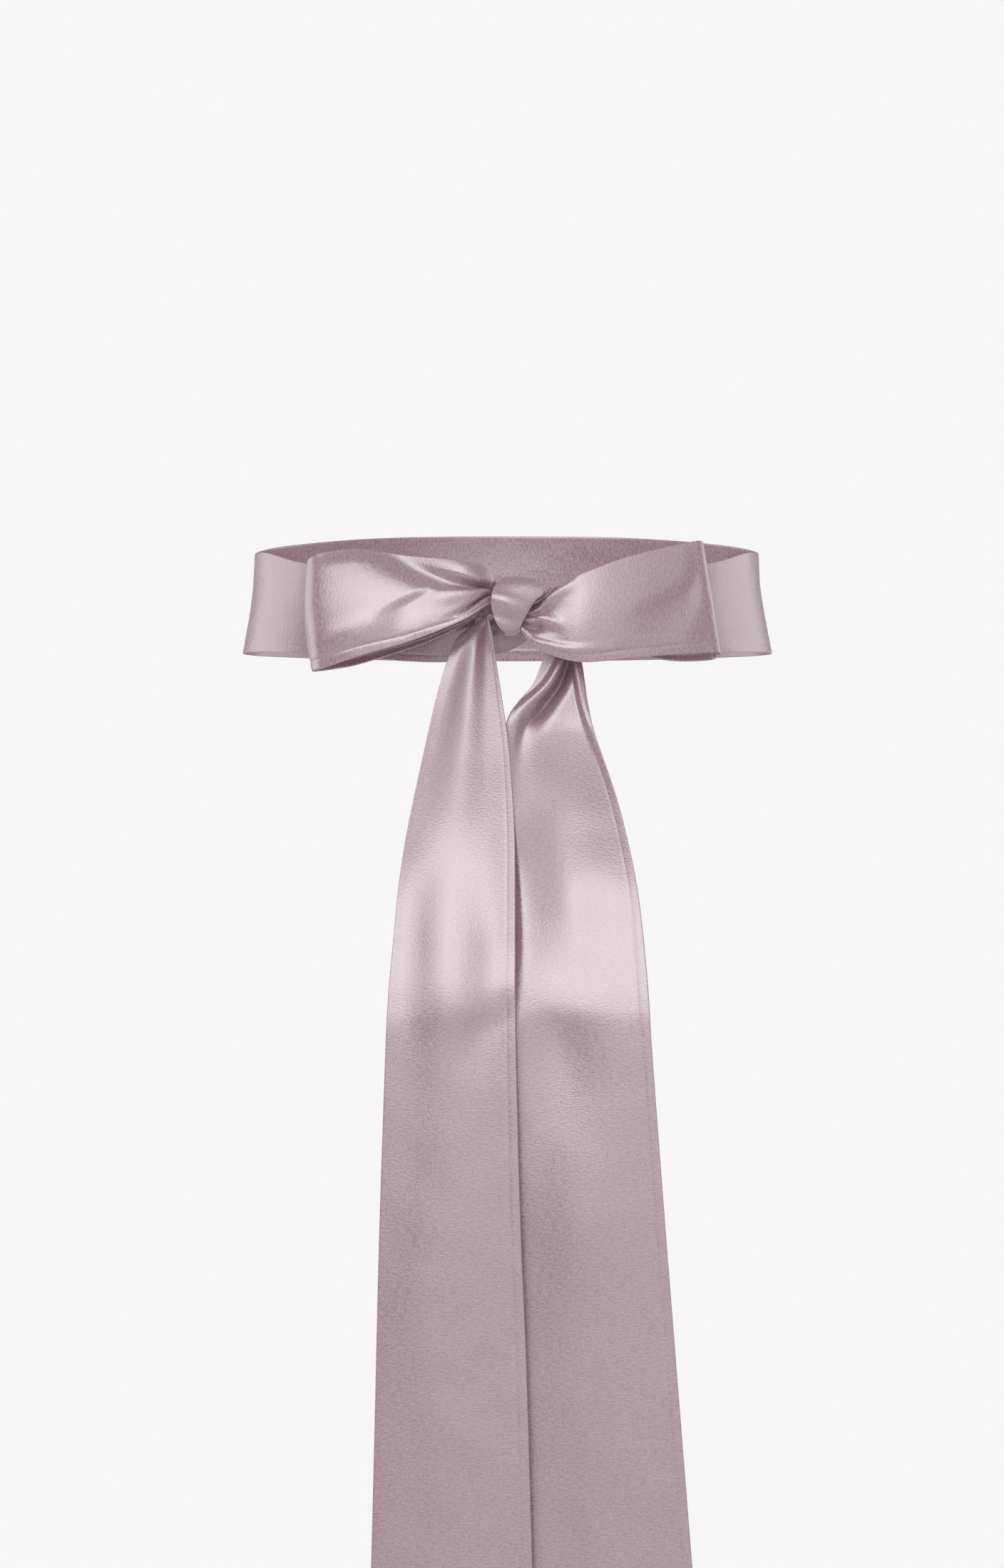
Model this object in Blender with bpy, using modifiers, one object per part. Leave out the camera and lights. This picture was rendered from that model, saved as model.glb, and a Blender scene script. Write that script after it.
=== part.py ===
"""A satin sash as worn: a band round the waist, tied behind in a bow with two loops and two long tails.

The frame is the waist's own. The origin is the middle of the waist opening at half the band's height,
+Z is up, the wearer faces +Y and the bow lies on the -Y side. Tables are in millimetres.
"""
import math
from typing import NamedTuple

import bmesh
import bpy
from mathutils import Vector

MM = 0.001

# The cloth: satin, turned double, with its hems lying flat inside the two layers.
WALL = 1.3
KNOT_WALL = 2.0
SEAM_GAP = 0.3
SATIN_COLOUR = (0.50, 0.395, 0.425, 1.0)
SATIN_ROUGHNESS = 0.36

# The waist that the sash is wound round is an oval.
WAIST_HALF_BREADTH = 136.0
WAIST_HALF_DEPTH = 100.0
SIDE_ANGLE = 90.0
SEAM_REACH = 2.0

# The oval that the knot's outer turn runs round, seen along X.
KNOT_MIDDLE_Y = -127.0
KNOT_MIDDLE_Z = -5.4
KNOT_HALF_DEPTH = 10.0
KNOT_HALF_HEIGHT = 15.5

# Faces along and across each stretch.
BAND_FRONT_FACES = (36, 4)
BAND_BACK_FACES = (24, 7)
LOOP_FACES = (48, 14)
TAIL_FACES = (46, 12)
WRAP_FACES = (28, 6)
TIE_FACES = (16, 10)

# The band flares below this part of its height, along a curve of this power.
FLARE_START = 0.3
FLARE_POWER = 1.4
BAND_BELLY = 1.0

# Parts of a fold's run over which it rises from nothing and dies away to nothing.
RUN_IN = 0.2
RUN_OUT = 0.45

LOOK_AHEAD = 0.05
LENGTH_STEPS = 400
WELD = 0.00001


class BandRow(NamedTuple):
    """The waistband at one angle from the middle of the front, going round to the back."""
    angle: float
    top: float
    low: float
    flare: float
    pull: float


class Section(NamedTuple):
    """A ribbon's cross line from its first edge to its second, and how far its middle stands out."""
    first_x: float
    first_y: float
    first_z: float
    second_x: float
    second_y: float
    second_z: float
    belly: float


class Fold(NamedTuple):
    """A soft ridge, or a trough where its height is below zero, between two rows of a ribbon.

    Its crest curves through three places across and three heights, and its flanks may differ in width.
    """
    first_row: float
    last_row: float
    first_across: float
    middle_across: float
    last_across: float
    near_flank: float
    far_flank: float
    first_height: float
    middle_height: float
    last_height: float


class WrapRow(NamedTuple):
    """The knot's outer turn: where its left and right edges lie, and how far it swells between them."""
    left_x: float
    left_angle: float
    right_x: float
    right_angle: float
    swell: float


class TieRow(NamedTuple):
    """The bundle of the first tie at one place along X."""
    x: float
    top: float
    low: float
    front: float


# angle, top, low, flare of the lower edge, pull of the cloth towards the knot
BAND_FRONT = [
    BandRow(-90, 27.5, -27.5, 7.0, 0.0),
    BandRow(-60, 34.0, -28.0, 5.0, 0.0),
    BandRow(-30, 39.5, -28.8, 3.0, 0.0),
    BandRow(0, 41.0, -29.0, 2.5, 0.0),
    BandRow(30, 39.5, -28.8, 3.0, 0.0),
    BandRow(60, 34.0, -28.0, 5.0, 0.0),
    BandRow(90, 27.5, -27.5, 7.0, 0.0),
]
BAND_BACK_LEFT = [
    BandRow(90, 27.5, -27.5, 7.0, 0.0),
    BandRow(109, 26.3, -27.2, 6.0, 0.0),
    BandRow(127, 19.9, -28.4, 4.0, 0.0),
    BandRow(145, 16.0, -31.0, 2.5, 0.0),
    BandRow(158, 13.0, -33.5, 1.0, 0.0),
    BandRow(168, 9.5, -33.5, 0.0, 0.2),
    BandRow(174, 6.5, -28.0, 0.0, 0.6),
    BandRow(180, 4.5, -22.0, 0.0, 1.0),
]
BAND_BACK_RIGHT = [
    BandRow(90, 27.5, -27.5, 7.0, 0.0),
    BandRow(109, 26.3, -27.2, 6.0, 0.0),
    BandRow(127, 19.9, -28.0, 4.0, 0.0),
    BandRow(145, 15.0, -28.5, 2.5, 0.0),
    BandRow(158, 10.0, -27.5, 1.0, 0.0),
    BandRow(168, 4.0, -24.5, 0.0, 0.2),
    BandRow(174, 2.0, -22.0, 0.0, 0.6),
    BandRow(180, 1.0, -20.0, 0.0, 1.0),
]
BAND_BACK_FOLDS = [
    Fold(3.6, 7.0, 0.20, 0.18, 0.16, 0.13, 0.13, 0.0, 0.5, 1.5),
    Fold(3.0, 7.0, 0.45, 0.43, 0.40, 0.13, 0.13, 0.0, -0.6, -1.7),
    Fold(3.4, 7.0, 0.62, 0.62, 0.62, 0.13, 0.13, 0.0, 0.5, 1.5),
    Fold(4.0, 7.0, 0.82, 0.83, 0.84, 0.13, 0.13, 0.0, -0.5, -1.4),
]

# upper edge x, y, z, lower edge x, y, z, belly; from the knot out along the front leaf and back
LEFT_LOOP = [
    Section(-6.5, -124.5, 5.0, -6.5, -130.0, -4.0, 0.0),
    Section(-10.5, -123.0, 12.6, -11.2, -131.0, -5.7, 0.0),
    Section(-22.7, -128.5, 16.7, -23.4, -137.0, -13.3, 1.4),
    Section(-48.6, -127.5, 20.9, -49.5, -137.5, -23.8, 5.0),
    Section(-76.4, -125.0, 25.1, -76.1, -136.0, -31.5, 5.4),
    Section(-96.3, -119.5, 23.2, -93.7, -131.0, -37.4, 4.8),
    Section(-102.4, -115.2, 20.4, -99.4, -126.3, -38.7, 3.6),
    Section(-104.1, -110.0, 18.8, -101.2, -118.5, -39.3, 2.4),
    Section(-101.3, -104.0, 20.5, -98.5, -109.0, -39.0, 2.0),
    Section(-92.1, -99.0, 21.9, -89.4, -104.0, -37.6, 2.0),
    Section(-77.2, -98.0, 21.1, -77.1, -103.0, -35.1, 1.5),
    Section(-45.3, -104.0, 14.2, -45.2, -109.0, -25.2, 1.0),
    Section(-19.1, -114.0, 9.0, -19.8, -117.0, -13.5, 0.5),
    Section(-11.6, -118.0, 7.0, -12.4, -119.5, -5.7, 0.0),
    Section(-6.5, -122.3, 3.5, -6.5, -122.5, -3.0, 0.0),
]
LEFT_LOOP_FOLDS = [
    Fold(0.3, 3.4, 0.32, 0.12, -0.08, 0.80, 0.18, 0.0, 3.4, 0.0),
    Fold(0.3, 2.95, 0.50, 0.43, 0.30, 0.16, 0.10, 0.0, -3.0, 0.0),
    Fold(0.3, 3.4, 0.62, 0.53, 0.42, 0.10, 0.24, 0.0, 1.6, 0.0),
    Fold(2.2, 3.9, 0.42, 0.58, 0.80, 0.12, 0.40, 0.0, -1.8, 0.0),
    Fold(0.3, 2.7, 0.62, 0.76, 0.95, 0.12, 0.12, 0.0, -3.0, 0.0),
    Fold(11.0, 13.4, 0.35, 0.35, 0.35, 0.16, 0.16, 0.0, 1.4, 0.0),
    Fold(11.0, 13.4, 0.65, 0.65, 0.65, 0.16, 0.16, 0.0, -1.4, 0.0),
]
RIGHT_LOOP = [
    Section(10.0, -126.5, -0.5, 2.5, -128.5, -11.0, 0.0),
    Section(21.0, -128.0, 3.2, 11.0, -131.0, -23.5, 0.5),
    Section(25.4, -130.5, 5.4, 16.5, -133.5, -28.7, 1.5),
    Section(40.2, -133.0, 11.9, 37.2, -137.0, -34.7, 3.0),
    Section(62.3, -128.5, 20.3, 63.7, -133.5, -32.6, 3.0),
    Section(86.5, -121.0, 26.6, 90.0, -126.0, -30.3, 2.5),
    Section(95.4, -118.0, 28.4, 102.6, -121.5, -29.4, 1.6),
    Section(100.4, -115.9, 29.2, 109.2, -118.8, -29.3, 0.8),
    Section(102.0, -112.8, 28.2, 111.2, -115.4, -30.2, 0.3),
    Section(100.6, -109.6, 26.9, 110.0, -112.0, -31.6, 0.5),
    Section(94.7, -105.0, 26.0, 104.4, -105.5, -33.3, 1.0),
    Section(72.5, -101.0, 22.5, 81.8, -102.0, -32.9, 1.5),
    Section(40.6, -108.0, 11.0, 42.4, -109.0, -24.4, 1.0),
    Section(21.8, -117.0, 1.8, 18.1, -118.0, -16.1, 0.0),
    Section(9.0, -121.8, -1.5, 5.5, -122.0, -8.5, 0.0),
]
RIGHT_LOOP_FOLDS = [
    Fold(0.3, 2.9, 0.46, 0.14, 0.00, 0.12, 0.12, 0.0, -2.8, 0.0),
    Fold(0.3, 3.4, 0.62, 0.19, 0.02, 0.12, 0.20, 0.0, 2.8, 0.0),
    Fold(0.3, 2.8, 0.68, 0.40, 0.36, 0.12, 0.12, 0.0, -1.6, 0.0),
    Fold(0.3, 2.7, 0.80, 0.55, 0.60, 0.13, 0.12, 0.0, 3.2, 0.0),
    Fold(0.3, 2.8, 0.90, 0.68, 0.72, 0.12, 0.12, 0.0, -3.0, 0.0),
    Fold(3.2, 6.8, 0.72, 0.54, 0.22, 0.22, 0.40, 0.0, -1.7, 0.0),
    Fold(11.0, 13.4, 0.35, 0.35, 0.35, 0.16, 0.16, 0.0, 1.4, 0.0),
    Fold(11.0, 13.4, 0.65, 0.65, 0.65, 0.16, 0.16, 0.0, -1.4, 0.0),
]

# left edge x, y, z, right edge x, y, z, belly; from the knot down
LEFT_TAIL = [
    Section(-6.0, -123.0, -9.0, -5.6, -129.5, -12.0, 0.0),
    Section(-11.5, -120.0, -11.5, -9.5, -130.3, -10.0, 0.0),
    Section(-18.0, -113.5, -16.0, -8.8, -129.5, -14.0, 0.3),
    Section(-24.3, -109.5, -20.0, -7.5, -128.5, -20.0, 0.8),
    Section(-28.8, -110.0, -27.0, -6.4, -127.0, -29.3, 1.5),
    Section(-35.8, -115.2, -48.8, -3.1, -127.2, -50.5, -1.0),
    Section(-42.8, -124.0, -78.6, 1.0, -129.0, -79.4, -3.0),
    Section(-51.6, -130.5, -120.1, 3.8, -132.0, -120.1, -3.5),
    Section(-56.3, -134.5, -149.7, 3.7, -135.0, -149.6, -3.0),
    Section(-59.1, -141.2, -179.0, 3.6, -141.2, -179.0, -1.5),
    Section(-61.6, -147.6, -208.3, 3.6, -147.6, -208.3, 0.0),
    Section(-63.0, -151.2, -237.5, 3.9, -151.2, -237.5, 0.5),
    Section(-65.9, -153.0, -325.6, 6.1, -153.0, -325.6, 1.0),
    Section(-68.4, -153.0, -428.4, 10.2, -153.0, -428.4, 1.5),
    Section(-75.2, -153.0, -700.7, 16.9, -153.0, -700.7, 1.5),
]
LEFT_TAIL_FOLDS = [
    Fold(0.6, 8.0, 0.74, 0.50, 0.22, 0.22, 0.14, 0.0, -3.4, 0.0),
    Fold(0.6, 7.4, 0.82, 0.66, 0.55, 0.14, 0.20, 0.0, 2.4, 0.0),
]
RIGHT_TAIL = [
    Section(4.5, -125.0, -12.0, 6.5, -125.0, -7.5, 0.0),
    Section(11.5, -124.5, -16.5, 16.0, -124.5, -11.0, 0.0),
    Section(16.5, -121.5, -21.5, 25.0, -121.5, -19.0, 0.0),
    Section(20.3, -119.0, -26.5, 33.0, -119.0, -25.5, 0.3),
    Section(19.2, -118.0, -31.0, 38.0, -118.0, -32.0, 0.6),
    Section(13.7, -118.5, -45.5, 40.4, -119.0, -45.1, 1.0),
    Section(5.1, -120.0, -56.3, 42.2, -121.0, -57.8, 1.5),
    Section(-1.2, -122.5, -68.9, 45.2, -123.8, -70.4, 0.0),
    Section(-1.2, -126.0, -97.9, 54.7, -128.5, -97.9, -3.0),
    Section(-0.1, -128.0, -120.1, 61.0, -131.0, -120.1, -3.5),
    Section(2.1, -131.5, -149.7, 67.2, -134.5, -149.7, -3.0),
    Section(4.4, -139.0, -179.1, 70.7, -141.2, -179.0, -1.5),
    Section(4.9, -147.0, -208.3, 73.1, -147.6, -208.3, 0.0),
    Section(5.2, -151.2, -237.5, 74.8, -151.2, -237.5, 0.5),
    Section(7.4, -153.0, -325.6, 81.4, -153.0, -325.6, 1.0),
    Section(11.5, -153.0, -428.4, 89.5, -153.0, -428.4, 1.5),
    Section(19.4, -153.0, -700.7, 111.1, -153.0, -700.7, 1.5),
]
RIGHT_TAIL_FOLDS = [
    Fold(3.0, 7.8, 0.80, 0.26, 0.02, 0.22, 0.12, 0.0, 4.0, 0.0),
    Fold(3.0, 8.2, 0.86, 0.40, 0.08, 0.12, 0.28, 0.0, -5.0, 0.0),
    Fold(3.0, 8.8, 0.72, 0.92, 1.02, 0.12, 0.34, 0.0, 3.4, 0.0),
]

# left edge x, left angle, right edge x, right angle, swell; from the bottom up the front and over
KNOT_WRAP = [
    WrapRow(-1.0, -72, 4.3, -88, 0.3),
    WrapRow(-4.5, -50, 6.2, -62, 0.8),
    WrapRow(-7.0, -28, 8.8, -33, 1.2),
    WrapRow(-8.6, -2, 11.6, -11, 1.6),
    WrapRow(-8.6, 18, 14.9, 10, 1.8),
    WrapRow(-7.6, 38, 19.3, 27, 1.6),
    WrapRow(-4.5, 70, 18.0, 46, 1.2),
    WrapRow(-3.0, 100, 12.0, 85, 0.8),
    WrapRow(-6.0, 140, 10.0, 132, 0.4),
    WrapRow(-7.0, 180, 9.5, 180, 0.2),
    WrapRow(-6.0, 222, 8.0, 225, 0.2),
    WrapRow(-3.0, 258, 5.0, 255, 0.3),
    WrapRow(-1.0, 288, 4.3, 272, 0.3),
]

# x, top, low, front
KNOT_TIE = [
    TieRow(-17.0, 2.0, -24.0, -111.0),
    TieRow(-10.0, 5.5, -30.0, -114.5),
    TieRow(-4.0, 6.5, -29.2, -116.4),
    TieRow(2.0, 6.5, -27.0, -116.5),
    TieRow(9.0, 5.0, -24.5, -115.5),
    TieRow(16.0, 0.0, -21.0, -112.0),
]
TIE_BACK = -104.8


def catmull(values, part):
    """Value between the middle two of four, on a smooth curve through all of them."""
    before, start, end, after = values
    return 0.5 * (
        2 * start
        + (end - before) * part
        + (2 * before - 5 * start + 4 * end - after) * part ** 2
        + (3 * start - before - 3 * end + after) * part ** 3
    )


def row_at(rows, place):
    """Smooth row at a place counted in rows."""
    last = len(rows) - 1
    first = min(int(place), last - 1)
    picked = [rows[min(max(first + step, 0), last)] for step in (-1, 0, 1, 2)]
    return type(rows[0])(*(catmull(column, place - first) for column in zip(*picked)))


def bump(distance, spread):
    """Rounded ridge, 1 high in its middle and 0 from its spread outwards."""
    if abs(distance) >= spread:
        return 0.0
    return 0.5 + 0.5 * math.cos(math.pi * distance / spread)


def curved(first, middle, last, part):
    """Value of the parabola through three evenly spaced values."""
    return (
        (1 - part) * (1 - 2 * part) * first
        + 4 * part * (1 - part) * middle
        + part * (2 * part - 1) * last
    )


def eased(part):
    """Smooth step from 0 to 1."""
    kept = min(max(part, 0.0), 1.0)
    return kept * kept * (3 - 2 * kept)


def fold_height(folds, place, across):
    """Height of all the folds together at a place on a ribbon."""
    height = 0.0
    for fold in folds:
        if fold.first_row <= place <= fold.last_row:
            part = (place - fold.first_row) / (fold.last_row - fold.first_row)
            crest = curved(fold.first_across, fold.middle_across, fold.last_across, part)
            raised = curved(fold.first_height, fold.middle_height, fold.last_height, part)
            raised *= eased(part / RUN_IN)
            if not fold.last_height:
                raised *= eased((1 - part) / RUN_OUT)
            flank = fold.near_flank if across < crest else fold.far_flank
            height += raised * bump(across - crest, flank)
    return height


def cross_line(rows, place):
    """Two edges of a ribbon at a place."""
    section = row_at(rows, place)
    return Vector(section[0:3]), Vector(section[3:6]), section.belly


def ribbon_point(rows, folds, face, place, across):
    """Point of a ribbon, with its belly and folds raised along its outward side."""
    first, second, belly = cross_line(rows, place)
    last = len(rows) - 1
    ahead = cross_line(rows, min(place + LOOK_AHEAD, last))
    behind = cross_line(rows, max(place - LOOK_AHEAD, 0))
    run = (ahead[0] + ahead[1]) - (behind[0] + behind[1])
    outward = run.cross(second - first).normalized() * face
    lift = belly * 4 * across * (1 - across) + fold_height(folds, place, across)
    return first.lerp(second, across) + outward * lift


def even_places(rows, count):
    """Places at even steps of length along the middle of a ribbon."""
    last = len(rows) - 1
    places = [last * step / LENGTH_STEPS for step in range(LENGTH_STEPS + 1)]
    middles = [sum(cross_line(rows, place)[:2], Vector()) / 2 for place in places]
    lengths = [0.0]
    for start, end in zip(middles, middles[1:]):
        lengths.append(lengths[-1] + (end - start).length)
    chosen = []
    step = 0
    for number in range(count + 1):
        target = lengths[-1] * number / count
        while step < LENGTH_STEPS and lengths[step + 1] < target:
            step += 1
        step = min(step, LENGTH_STEPS - 1)
        part = (target - lengths[step]) / (lengths[step + 1] - lengths[step])
        chosen.append(places[step] + (places[step + 1] - places[step]) * min(part, 1.0))
    return chosen


def band_point(rows, folds, side, end_gap, place, across):
    """Point of the waistband; side is 1 towards +X and -1 towards -X."""
    row = row_at(rows, place)
    angle = math.radians(row.angle)
    lower_part = max(across - FLARE_START, 0.0) / (1 - FLARE_START)
    outward = row.flare * lower_part ** FLARE_POWER + BAND_BELLY * 4 * across * (1 - across)
    outward += row.pull + fold_height(folds, place, across)
    x = (WAIST_HALF_BREADTH + outward) * math.sin(angle)
    y = (WAIST_HALF_DEPTH + outward) * math.cos(angle)
    if end_gap:
        x = max(x, SEAM_GAP / 2)
        if row.angle < SIDE_ANGLE + SEAM_REACH:
            y = min(y, -SEAM_GAP)
    return Vector((side * x, y, row.top + (row.low - row.top) * across))


def grid_surface(name, faces, point_at, close=False):
    """Open surface from a grid whose vertices are moved to point_at(along, across)."""
    along_faces, across_faces = faces
    shape = bmesh.new()
    bmesh.ops.create_grid(shape, x_segments=along_faces, y_segments=across_faces, size=0.5)
    for vertex in shape.verts:
        along = round((vertex.co.x + 0.5) * along_faces)
        across = vertex.co.y + 0.5
        vertex.co = point_at(along, across) * MM
    if close:
        bmesh.ops.remove_doubles(shape, verts=shape.verts, dist=WELD)
    mesh = bpy.data.meshes.new(name)
    shape.to_mesh(mesh)
    shape.free()
    return bpy.data.objects.new(name, mesh)


def add_wall(cloth, thickness, offset):
    """Give an open surface its thickness."""
    wall = cloth.modifiers.new("wall", "SOLIDIFY")
    wall.thickness = thickness * MM
    wall.offset = offset
    wall.use_even_offset = False


def satin(name):
    """Satin finish of one piece."""
    finish = bpy.data.materials.new(name + "_satin")
    finish.use_nodes = True
    shader = finish.node_tree.nodes["Principled BSDF"]
    shader.inputs["Base Color"].default_value = SATIN_COLOUR
    shader.inputs["Roughness"].default_value = SATIN_ROUGHNESS
    shader.inputs["Metallic"].default_value = 0.0
    finish.diffuse_color = SATIN_COLOUR
    return finish


def ribbon(name, rows, folds, face, faces):
    """Ribbon with a wall, from its sections and folds."""
    places = even_places(rows, faces[0])

    def point_at(along, across):
        return ribbon_point(rows, folds, face, places[along], across)

    cloth = grid_surface(name, faces, point_at)
    add_wall(cloth, WALL, 0.0)
    return cloth


def waistband(name, rows, folds, side, end_gap, faces):
    """Stretch of the waistband with a wall."""
    last = len(rows) - 1

    def point_at(along, across):
        return band_point(rows, folds, side, end_gap, last * along / faces[0], across)

    cloth = grid_surface(name, faces, point_at)
    add_wall(cloth, WALL, 0.0)
    return cloth


def wrap_point(place, across):
    """Point of the knot's outer turn."""
    row = row_at(KNOT_WRAP, place)
    x = row.left_x + (row.right_x - row.left_x) * across
    angle = math.radians(row.left_angle + (row.right_angle - row.left_angle) * across)
    swell = row.swell * (4 * across * (1 - across) - 1)
    y = KNOT_MIDDLE_Y - (KNOT_HALF_DEPTH + swell) * math.cos(angle)
    z = KNOT_MIDDLE_Z + (KNOT_HALF_HEIGHT + swell) * math.sin(angle)
    return Vector((x, y, z))


def knot_wrap():
    """Outer turn of the knot: a short band wound round the ends of the loops and tails."""
    last = len(KNOT_WRAP) - 1

    def point_at(along, across):
        return wrap_point(last * (along % WRAP_FACES[0]) / WRAP_FACES[0], across)

    cloth = grid_surface("knot_wrap", WRAP_FACES, point_at, close=True)
    add_wall(cloth, KNOT_WALL, 1.0)
    return cloth


def knot_tie():
    """Bundle of the first tie, behind and below the outer turn, with its layers pressed together."""
    rows = KNOT_TIE
    middle_x = (rows[0].x + rows[-1].x) / 2
    half_length = (rows[-1].x - rows[0].x) / 2
    shape = bmesh.new()
    bmesh.ops.create_uvsphere(shape, u_segments=TIE_FACES[0], v_segments=TIE_FACES[1], radius=1.0)
    for vertex in shape.verts:
        along = max(-1.0, min(1.0, vertex.co.z))
        round_y, round_z = vertex.co.x, vertex.co.y
        fullness = (1 - abs(along) ** 3) ** (1 / 3) / max(math.sqrt(1 - along ** 2), WELD)
        row = row_at(rows, (along + 1) / 2 * (len(rows) - 1))
        half_depth = (TIE_BACK - row.front) / 2
        half_height = (row.top - row.low) / 2
        x = middle_x + half_length * along
        y = (TIE_BACK + row.front) / 2 + half_depth * round_y * fullness
        z = (row.top + row.low) / 2 + half_height * round_z * fullness
        vertex.co = Vector((x, y, z)) * MM
    bmesh.ops.recalc_face_normals(shape, faces=shape.faces)
    mesh = bpy.data.meshes.new("knot_tie")
    shape.to_mesh(mesh)
    shape.free()
    return bpy.data.objects.new("knot_tie", mesh)


def clear_scene():
    """Remove everything that a new file starts with."""
    for thing in list(bpy.data.objects):
        bpy.data.objects.remove(thing, do_unlink=True)


def build():
    """Make every stretch of the sash and put it in one collection."""
    clear_scene()
    sash = bpy.data.collections.new("satin_sash")
    bpy.context.scene.collection.children.link(sash)
    pieces = [
        waistband("band_front", BAND_FRONT, [], 1, False, BAND_FRONT_FACES),
        waistband("band_back_left", BAND_BACK_LEFT, BAND_BACK_FOLDS, -1, True, BAND_BACK_FACES),
        waistband("band_back_right", BAND_BACK_RIGHT, BAND_BACK_FOLDS, 1, True, BAND_BACK_FACES),
        knot_tie(),
        knot_wrap(),
        ribbon("loop_left", LEFT_LOOP, LEFT_LOOP_FOLDS, 1, LOOP_FACES),
        ribbon("loop_right", RIGHT_LOOP, RIGHT_LOOP_FOLDS, -1, LOOP_FACES),
        ribbon("tail_left", LEFT_TAIL, LEFT_TAIL_FOLDS, 1, TAIL_FACES),
        ribbon("tail_right", RIGHT_TAIL, RIGHT_TAIL_FOLDS, 1, TAIL_FACES),
    ]
    for piece in pieces:
        piece.data.materials.append(satin(piece.name))
        piece.data.shade_smooth()
        sash.objects.link(piece)


build()
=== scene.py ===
"""Looks of the satin sash: a band round the waist, tied behind in a bow with two loops and two tails.

Lengths in the tables are in millimetres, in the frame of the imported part: the bow lies on the -Y side.
"""
import logging
import math
from dataclasses import dataclass, field
from enum import Enum
from typing import Any, NamedTuple, Sequence

import bmesh
import bpy
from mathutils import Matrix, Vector, noise

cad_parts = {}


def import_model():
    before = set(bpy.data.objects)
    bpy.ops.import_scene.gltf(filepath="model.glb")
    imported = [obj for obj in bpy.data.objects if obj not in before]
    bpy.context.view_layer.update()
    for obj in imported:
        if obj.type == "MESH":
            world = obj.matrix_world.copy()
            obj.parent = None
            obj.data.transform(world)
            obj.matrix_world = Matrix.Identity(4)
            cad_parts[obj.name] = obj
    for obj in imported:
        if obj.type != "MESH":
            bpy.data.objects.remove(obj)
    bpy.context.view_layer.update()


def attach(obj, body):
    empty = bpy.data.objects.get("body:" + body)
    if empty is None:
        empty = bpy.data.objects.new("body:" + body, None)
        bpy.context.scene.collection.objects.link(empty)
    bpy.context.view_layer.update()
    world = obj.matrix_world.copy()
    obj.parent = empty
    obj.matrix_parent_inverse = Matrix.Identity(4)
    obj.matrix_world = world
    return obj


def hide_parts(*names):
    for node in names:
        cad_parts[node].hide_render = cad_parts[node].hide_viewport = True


LOG = logging.getLogger("sash")
MM = 0.001
BODY = "root"

# The photograph's frame, and its camera's focal length in pixels of that frame.
PHOTO_HEIGHT = 2200
FOCAL_PIXELS = 7752
SENSOR_MM = 36.0

CLOTH_THICKNESS = 1.1
HEM_WIDTH = 5.0
HEM_GROOVE = 0.38
STITCH_PITCH = 2.6
RUN_OUT = 0.45


class Side(Enum):
    """Which way a ribbon's relief stands out, seen along its run from its first edge to its second."""

    OUT = 1
    IN = -1


class Section(NamedTuple):
    """A ribbon's cross line from its first edge to its second, and how far its middle stands out."""

    first_x: float
    first_y: float
    first_z: float
    second_x: float
    second_y: float
    second_z: float
    belly: float


class Fold(NamedTuple):
    """A soft ridge, or a trough where its height is below zero, between two rows of a ribbon.

    Its crest curves through three places across and three heights, and its flanks may differ in width.
    It runs out smoothly where its height at an end is zero.
    """

    first_row: float
    last_row: float
    first_across: float
    middle_across: float
    last_across: float
    near_flank: float
    far_flank: float
    first_height: float
    middle_height: float
    last_height: float


class Swell(NamedTuple):
    """A broad soft mound, or a hollow where its height is below zero, at one place of a ribbon.

    It is round at a crown of 2, and flat on top with a firmer rim at a crown of 4.
    """

    row: float
    across: float
    row_spread: float
    across_spread: float
    slant: float
    height: float
    crown: float


class BandRow(NamedTuple):
    """The waistband at one angle from the middle of the front, going round to the back."""

    angle: float
    top: float
    low: float
    flare: float
    pull: float


class WrapRow(NamedTuple):
    """The knot's outer turn: where its left and right edges lie, and how far it swells between them."""

    left_x: float
    left_angle: float
    right_x: float
    right_angle: float
    swell: float


class TieRow(NamedTuple):
    """The bundle of the first tie at one place along X."""

    x: float
    top: float
    low: float
    front: float


def catmull(values: Sequence[float], part: float) -> float:
    """Value between the middle two of four, on a smooth curve through all of them."""
    before, start, end, after = values
    return 0.5 * (
        2 * start
        + (end - before) * part
        + (2 * before - 5 * start + 4 * end - after) * part**2
        + (3 * start - before - 3 * end + after) * part**3
    )


def row_at(rows: Sequence[Any], place: float) -> Any:
    """Smooth row of a table at a place counted in rows."""
    last = len(rows) - 1
    first = min(int(place), last - 1)
    picked = [rows[min(max(first + step, 0), last)] for step in (-1, 0, 1, 2)]
    return type(rows[0])(*(catmull(column, place - first) for column in zip(*picked)))


def bump(distance: float, spread: float) -> float:
    """Rounded ridge, 1 high in its middle and 0 from its spread outwards."""
    if abs(distance) >= spread:
        return 0.0
    return 0.5 + 0.5 * math.cos(math.pi * distance / spread)


def eased(part: float) -> float:
    """Smooth step from 0 to 1."""
    kept = min(max(part, 0.0), 1.0)
    return kept * kept * (3 - 2 * kept)


def curved(first: float, middle: float, last: float, part: float) -> float:
    """Value of the parabola through three evenly spaced values."""
    return (
        (1 - part) * (1 - 2 * part) * first
        + 4 * part * (1 - part) * middle
        + part * (2 * part - 1) * last
    )


def fold_height(folds: Sequence[Fold], place: float, across: float) -> float:
    """Height of all the folds together at a place on a ribbon."""
    height = 0.0
    for fold in folds:
        if fold.first_row <= place <= fold.last_row:
            part = (place - fold.first_row) / (fold.last_row - fold.first_row)
            crest = curved(fold.first_across, fold.middle_across, fold.last_across, part)
            raised = curved(fold.first_height, fold.middle_height, fold.last_height, part)
            if not fold.first_height:
                raised *= eased(part / RUN_OUT)
            if not fold.last_height:
                raised *= eased((1 - part) / RUN_OUT)
            flank = fold.near_flank if across < crest else fold.far_flank
            height += raised * bump(across - crest, flank)
    return height


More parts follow.
